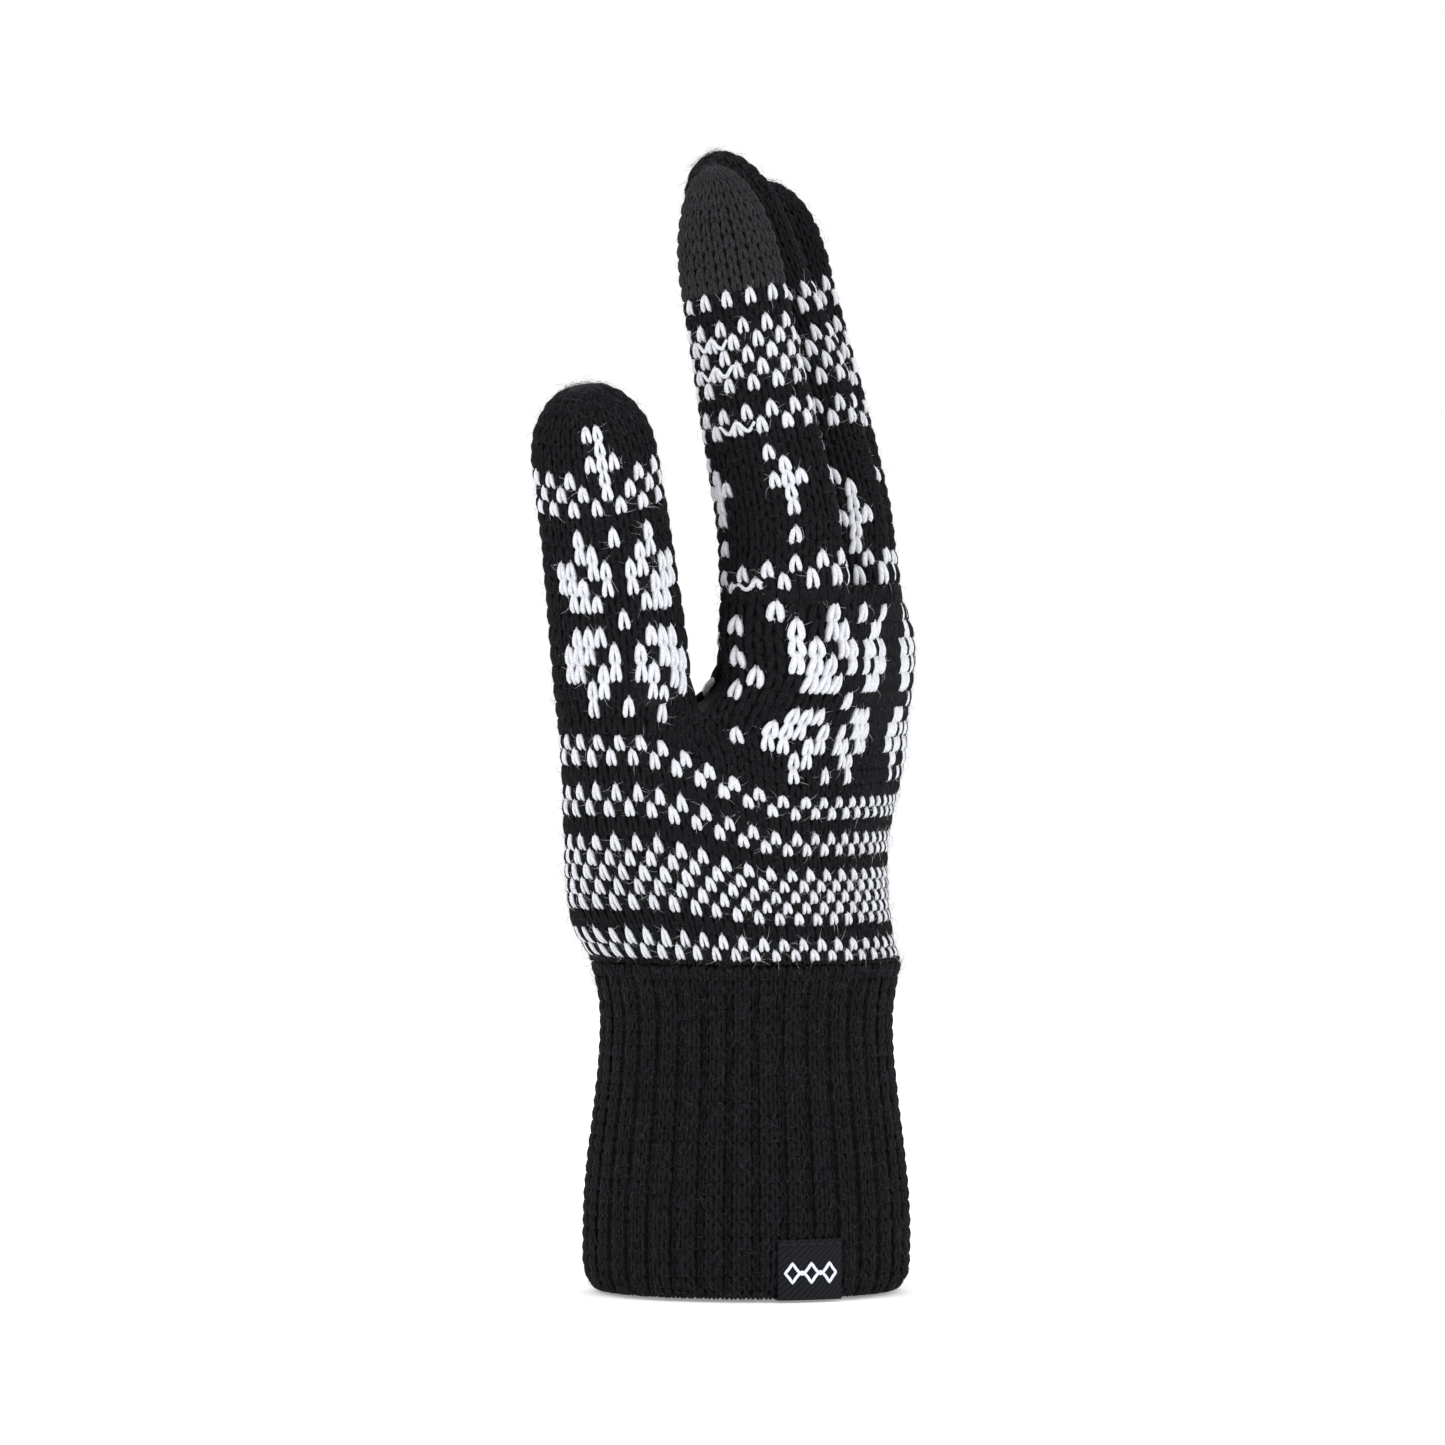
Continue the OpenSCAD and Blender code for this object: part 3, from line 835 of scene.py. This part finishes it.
# Single stitches beside the hand's first star, as column and row from its middle
HAND_FILL = {(-5, 4), (-6, 5), (-8, 4), (-9, 5), (-9, 3), (-8, 2), (-7, 1), (-8, 0), (-9, 0),
             (-7, -3), (-9, -3)}
HAND_STAR_COLUMN, HAND_STAR_ROW = 9, 6
HAND_REPEAT = 16


def hand_white(i, j):
    """The hand's pattern: a row of stars, with single dots between them."""
    repeat = round((i - HAND_STAR_COLUMN) / HAND_REPEAT)
    column, row = i - HAND_STAR_COLUMN - repeat * HAND_REPEAT, j - HAND_STAR_ROW
    if star(column, row):
        return True
    if repeat == 0:
        return (column, row) in HAND_FILL
    return repeat > 0 and abs(column) == HAND_REPEAT // 2 and row in (-3, 0, 3)


THUMB_STAR_COLUMN, THUMB_STAR_ROW = 22, 6
THUMB_TIP_ROW = 12  # the rows above this one have the checker and the tree of the thumb's tip


def thumb_white(i, j):
    """The thumb's pattern: a star on one side, single dots on the other, and the tip."""
    half = THUMB_WALES // 2
    row, tip = j - THUMB_STAR_ROW, j - THUMB_TIP_ROW
    far = (i - THUMB_STAR_COLUMN + half) % THUMB_WALES - half
    if star(far, row) or far == -half and row in (-3, 0, 3):
        return True
    if tip == 1:
        return far % 2 == 1
    if tip == 2:
        return far % 2 == 0
    if tip == 3:
        return far == 0 or far % 2 == 1 and abs(far) > 1
    return (far, tip) in {(0, 4), (-1, 4), (1, 4), (0, 5), (0, 6), (-1, 6)}


def palm_white(i, j):
    """The palm's pattern: checkered bands between black rows."""
    kind = PALM_ROWS[j][1]
    return kind != " " and (i % 2 == 0) == (kind == "a")


# Finger rows: a and b checker, t trunk, w trunk with arms, d a single dot, c a dot one wale to the left,
# T and W the same as t and w but for one tree only
FINGER_ROWS = "ab d ttwtc ab ababa ba"
MIDDLE_ROWS = "abdtwttc   ab abab ba TWTTT"
TREE_SPACING = 6


def finger_white(name, tree):
    """The pattern of a finger whose first tree stands on the given wale."""
    rows = MIDDLE_ROWS if name == "middle" else FINGER_ROWS

    def white(i, j):
        kind = rows[j - 1] if 0 < j <= len(rows) else " "
        column = (i - tree + TREE_SPACING // 2) % TREE_SPACING - TREE_SPACING // 2
        if kind in "TW":
            return abs(i - tree) <= (kind == "W")
        if kind == "a":
            return i % 2 == 0
        if kind == "b":
            return i % 2 == 1
        if kind in "dt":
            return column == 0
        if kind == "w":
            return abs(column) <= 1
        return kind == "c" and column == -1
    return white


# ---------------- pieces
BLACK, WHITE, FLUFF, PALE = range(4)  # the order of a knitted piece's materials
# each yarn's two colours: the darker is painted shade in the grooves between strands, the lighter painted
# highlight on their crests
black_yarn = yarn_material("black_yarn", (0.001, 0.001, 0.0013), (0.018, 0.0185, 0.022), 0.01, 0.25)
white_yarn = yarn_material("white_yarn", (0.55, 0.56, 0.60), (0.90, 0.91, 0.95), 0.05, 0.2)
touch_yarn = yarn_material("touch_yarn", (0.004, 0.004, 0.0045), (0.045, 0.045, 0.05), 0.04, 0.12)
lining_dark = fibre_material("lining_dark", (0.012, 0.012, 0.0135))
# the black yarn's fibres are real, but their grey is painted highlight, lighter than the yarn to stand for
# the light they catch
black_fluff_painted_highlight = fibre_material("black_fluff_painted_highlight", (0.075, 0.075, 0.083))
pale_fluff = fibre_material("pale_fluff", (0.8, 0.8, 0.83))
seam_thread = fibre_material("seam_thread", (0.02, 0.02, 0.024))
mark_thread = fibre_material("mark_thread", (0.78, 0.80, 0.98))
DARK_TUBE = 8, 5  # segments along a stitch's tube and sides round it
WHITE_TUBE = 12, 6
WHITE_PLUMP, WHITE_PROUD = 1.02, 0.02  # the white yarn is a little thicker and stands a little proud
HAIRS, PALE_HAIRS = 5.0, 1.6  # fibres for each stitch, and how many times more on white yarn


def jacquard(name, fabric, white, first=0, last=None, strands=()):
    """A knitted piece between two rows: black stitches, white stitches and their loose fibres."""
    mesh = Mesh()
    cells = all_cells(fabric.wales, fabric.rows if last is None else last, first)
    pick = np.array([white(int(i), int(j)) for i, j in cells])
    dark, pale = cells[~pick], cells[pick]
    knit(mesh, fabric, dark, *DARK_TUBE, BLACK)
    knit(mesh, fabric, pale, *WHITE_TUBE, WHITE, WHITE_PLUMP, WHITE_PROUD)
    # fibres on the black stitches, in a grey that is painted highlight
    fuzz(mesh, fabric, dark, int(len(dark) * HAIRS), FLUFF)
    fuzz(mesh, fabric, pale, int(len(pale) * HAIRS * PALE_HAIRS), PALE)
    floats(mesh, fabric, strands, WHITE)
    return mesh.make(name, black_yarn, white_yarn, black_fluff_painted_highlight, pale_fluff)


LINING_WALL = 0.9, 1.7  # how deep the cuff lining's outer and inner faces lie behind the furrows


def cuff_lining():
    around = 96
    ring = directions(around, X_AXIS, Y_AXIS)
    heights = np.clip(profile_z, LEVEL_INSET, None)[:, None, None] * Z_AXIS
    grids = [(profile_r - PURL_DEPTH - depth)[:, None, None] * ring + heights for depth in LINING_WALL]
    return shell_mesh(*grids).make("cuff_lining", lining_dark)


def solid(rings):
    """A closed solid through rings of points."""
    count, around, _ = rings.shape
    mesh = bpy.data.meshes.new("solid")
    last_ring = (count - 1) * around
    caps = [list(range(around))[::-1], list(range(last_ring, last_ring + around))]
    mesh.from_pydata((rings.reshape(-1, 3) * MM).tolist(), [], ring_quads(count, around).tolist() + caps)
    part = bpy.data.objects.new("solid", mesh)
    bpy.context.scene.collection.objects.link(part)
    return part


def evaluated(part):
    """The part's mesh with its modifiers applied."""
    graph = bpy.context.evaluated_depsgraph_get()
    mesh = bpy.data.meshes.new_from_object(part.evaluated_get(graph))
    part.modifiers.clear()
    part.data = mesh
    return mesh


LINING_DEPTH = 0.75  # the palm's lining lies this far inside its fabrics
LINING_OVERLAP = 3.0  # its upper parts reach down into its lower part this far
LINING_VOXEL, LINING_THICK = 1.1, 0.7
THUMB_LINING_TOP = 139.0
OPENING_MARGIN = 3.0  # an opening is this much narrower than the digit, all round
OPENING_DEPTH = 6.0  # faces this far below a part's top can still belong to its opening
FLAT = 0.6  # least upward share of the normal of a face that closes an opening


def palm_lining(palm, hand, thumb):
    """Dark backing inside the palm's knitting, closed at the crotches, open at the wrist and the digits."""
    parts = [(fabric.points - LINING_DEPTH * fabric.normals)[::2] for fabric in (palm, hand, thumb)]
    thumb_top = int(np.searchsorted(thumb.points[::2, THUMB_WALES * RU // 2, 2], THUMB_LINING_TOP))
    parts = [parts[0][:, :-1], parts[1], parts[2][:thumb_top]]
    for k in (1, 2):
        parts[k] = np.concatenate([parts[k][:1] - LINING_OVERLAP * Z_AXIS, parts[k]])
    solids = [solid(rings) for rings in parts]
    with bpy.context.temp_override(active_object=solids[0], selected_editable_objects=solids):
        bpy.ops.object.join()
    lining = solids[0]
    lining.name = "palm_lining"
    remesh = lining.modifiers.new("remesh", "REMESH")
    remesh.mode, remesh.voxel_size = "VOXEL", LINING_VOXEL * MM
    soft = lining.modifiers.new("soft", "SMOOTH")
    soft.iterations, soft.factor = 6, 0.5
    mesh = evaluated(lining)
    work = bmesh.new()
    work.from_mesh(mesh)
    bmesh.ops.delete(work, geom=[face for face in work.faces if is_opening(face)], context="FACES")
    work.to_mesh(mesh)
    work.free()
    wall = lining.modifiers.new("wall", "SOLIDIFY")
    wall.thickness, wall.offset, wall.use_rim = LINING_THICK * MM, -1, True
    mesh = evaluated(lining)
    mesh.materials.clear()
    mesh.materials.append(lining_dark)
    mesh.shade_smooth()
    return lining


def is_opening(face):
    """Whether a face of the palm's lining closes the wrist or a digit."""
    place = np.array(face.calc_center_median()) / MM
    if face.normal.z < -FLAT and place[2] < cuff_top + 2:
        return True
    if face.normal.z < FLAT:
        return False
    for digit in digits.values():
        top = THUMB_LINING_TOP if digit.name == "thumb" else palm_top
        centre, across = digit.section(1.0)
        apart = place - centre
        size_a = digit.radii[3, 0] - OPENING_MARGIN
        size_b = digit.radii[3, SECTION_POINTS // 4] - OPENING_MARGIN
        inside = (apart @ across / size_a) ** 2 + (apart @ digit.side / size_b) ** 2 < 1
        if place[2] > top - OPENING_DEPTH and inside:
            return True
    return False


def plain(i, j):
    """The pattern of the cuff, which has no white stitches."""
    return False


def build_cuff():
    fabric, row_z = cuff_fabric()
    hem_rows = int(np.searchsorted(row_z, hem_top - 0.5))
    third = (fabric.rows - hem_rows) // 3
    hem = jacquard("cuff_hem_knit", fabric, plain, 0, hem_rows)
    low = jacquard("cuff_rib_lower_knit", fabric, plain, hem_rows, hem_rows + third)
    middle = jacquard("cuff_rib_middle_knit", fabric, plain, hem_rows + third, hem_rows + 2 * third)
    high = jacquard("cuff_rib_upper_knit", fabric, plain, hem_rows + 2 * third)
    for piece in (hem, low, middle, high, cuff_lining()):
        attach(piece, "palm")
    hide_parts("cuff_hem")
    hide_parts("cuff_rib")


MARK_MIDDLE, MARK_HALF = 6.1, 2.2  # height of the woven mark's middle, and half its height
MARK_SPACING, MARK_WIDTH = 4.5, 1.7
MARK_DOT = 0.25  # radius of the small dots that join the diamonds
MARK_PROUD, MARK_THREAD = 0.05, 0.36  # the thread's height off the label and its radius


def twill_material():
    """Black satin with a fine diagonal weave."""
    material, shader = new_material("label_satin")
    new, link = material.node_tree.nodes.new, material.node_tree.links.new
    place = new("ShaderNodeTexCoord")
    turn = settle(new("ShaderNodeMapping"), Rotation=(0, 0, math.pi / 2 - label_angle))
    weave = settle(new("ShaderNodeTexWave"), Scale=420.0, Distortion=0.6)
    weave.bands_direction = "DIAGONAL"
    ramp = new("ShaderNodeValToRGB")
    two_colours(ramp, (0.002, 0.0022, 0.003), (0.009, 0.010, 0.014))
    bump = settle(new("ShaderNodeBump"), Distance=0.08 * MM)
    link(place.outputs["Object"], turn.inputs["Vector"])
    link(turn.outputs["Vector"], weave.inputs["Vector"])
    link(weave.outputs["Fac"], ramp.inputs["Fac"])
    link(weave.outputs["Fac"], bump.inputs["Height"])
    link(ramp.outputs["Color"], shader.inputs["Base Color"])
    link(bump.outputs["Normal"], shader.inputs["Normal"])
    settle(shader, Roughness=0.6, Specular_IOR_Level=0.12)
    return material


def label_place(across, height, proud):
    """A point on the label's face: across its middle line, at a height, standing proud."""
    angle = label_angle + across / label_radius
    radius = label_radius + proud
    return np.stack([radius * np.cos(angle), radius * np.sin(angle), height + 0 * angle], -1)


def build_label():
    """The label's satin, its seam, and a plain mark of three diamonds in white thread."""
    for node, material in (("woven_label", twill_material()), ("label_stitching", seam_thread)):
        frame["nodes"][node].data.materials.clear()
        frame["nodes"][node].data.materials.append(material)
    turn = np.linspace(0, TAU, 33)
    from_corner = np.abs((turn / (TAU / 4)) % 1 - 0.5)
    diamond = 1 / (np.abs(np.cos(turn)) + np.abs(np.sin(turn))) * (0.94 + 0.12 * from_corner)
    shapes = [(k, MARK_WIDTH * diamond, MARK_HALF * diamond) for k in (-1, 0, 1)]
    shapes += [(k, MARK_DOT, MARK_DOT) for k in (-0.5, 0.5)]
    lines = np.array([label_place(k * MARK_SPACING + half_width * np.cos(turn),
                                  MARK_MIDDLE + half_height * np.sin(turn), MARK_PROUD)
                      for k, half_width, half_height in shapes])
    normals = unit(lines * np.array([1, 1, 0]))
    mesh = Mesh()
    mesh.tubes(lines, normals, np.full(lines.shape[:2], MARK_THREAD), 6)
    mark = mesh.make("label_mark", mark_thread)
    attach(mark, "palm")


def build_palm():
    palm, hand = palm_fabric(), hand_fabric()
    middle_row = palm.rows // 2
    lower = jacquard("lower_palm_knit", palm, palm_white, 0, middle_row)
    middle = jacquard("middle_palm_knit", palm, palm_white, middle_row)
    upper = jacquard("upper_palm_knit", hand, hand_white)
    lining = palm_lining(palm, hand, thumb_fabric()[0])
    for piece in (lower, middle, upper, lining):
        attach(piece, "palm")
    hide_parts("lower_palm")
    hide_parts("upper_palm")


TOUCH_EDGE = 4.0  # the touch yarn's first row lies this far above its lowest corner
TOUCH_PLUMP, TOUCH_HAIRS = 1.05, 3
# Half the length round the root hinge and round the middle hinge
BEND_HALF = {"thumb": (10, 12), "index": (12, 13), "middle": (12, 13), "ring": (12, 13), "little": (11, 11)}
TUBE_WALL = 0.55, 1.3  # how deep the digit linings' faces lie behind the yarn's middle line
TREES = {"index": 13, "middle": 8, "ring": 9, "little": 10}  # the wale of a finger's first tree
FLOATS = {"index": [(9, 11, 1), (9, 12, 12), (8, 11.5, 16), (8, 11, 18)]}


def bend(piece, digit, joint):
    """Bakes the piece's placement into its mesh. The stretch of the digit round one of its two hinges is
    worked out but not used.
    """
    half = BEND_HALF[digit.name][joint]
    hinge = digit.hinges[joint]
    s = digit.run[np.argmin(np.linalg.norm(digit.line - hinge, axis=1))]
    low, high = digit.section(s - half)[0], digit.section(s + half)[0]
    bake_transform(piece)


def digit_lining(digit, s_split):
    """Two pieces of dark backing tube that meet between the hinges."""
    outer, inner = (digit.loops(BASE_INSET + depth) for depth in TUBE_WALL)
    cut = int(np.searchsorted(digit.levels, s_split))
    pieces = []
    for part, name in ((slice(1, cut + 1), "_lower_lining"), (slice(cut, len(outer) - 1), "_upper_lining")):
        pieces.append(shell_mesh(outer[part], inner[part]).make(digit.name + name, lining_dark))
    return pieces


def touch_tip(digit, fabric, first_row):
    """The forefinger's end, in touch yarn."""
    mesh = Mesh()
    cells = all_cells(fabric.wales, fabric.rows, first_row)
    knit(mesh, fabric, cells, *WHITE_TUBE, 0, TOUCH_PLUMP)
    # fibres on the touch yarn, in a grey that is painted highlight
    fuzz(mesh, fabric, cells, len(cells) * TOUCH_HAIRS, 1)
    touch = mesh.make("index_touch_knit", touch_yarn, black_fluff_painted_highlight)
    bend(touch, digit, 1)
    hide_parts("index_touch_tip")


def build_digit(digit):
    name = digit.name
    fabric, row_s = thumb_fabric() if name == "thumb" else finger_fabric(digit)
    white = thumb_white if name == "thumb" else finger_white(name, TREES[name])
    s_split = (digit.hinges[0][2] + digit.hinges[1][2]) / 2 - digit.root_z
    split = int(np.searchsorted(row_s, s_split))
    strands = FLOATS.get(name, [])
    low_strands = [strand for strand in strands if strand[2] < split]
    high_strands = [strand for strand in strands if strand[2] >= split]
    lower = jacquard(name + "_lower_knit", fabric, white, 0, split, low_strands)
    top = fabric.rows
    if name == "index":
        touch_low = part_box("index_touch_tip")[0].z / MM - digit.root_z + TOUCH_EDGE
        top = int(np.searchsorted(row_s, touch_low))
        touch_tip(digit, fabric, top)
    upper = jacquard(name + "_upper_knit", fabric, white, split, top, high_strands)
    low_lining, high_lining = digit_lining(digit, row_s[split])
    for piece, joint in ((lower, 0), (low_lining, 0), (upper, 1), (high_lining, 1)):
        bend(piece, digit, joint)
    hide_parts(name + "_base_band", name + "_lower_stall", name + "_middle_band")
    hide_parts(name + "_upper_stall")
    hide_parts(name + "_closing_knot")


make_camera()
make_studio()
build_cuff()
build_label()
build_palm()
for each in digits.values():
    build_digit(each)
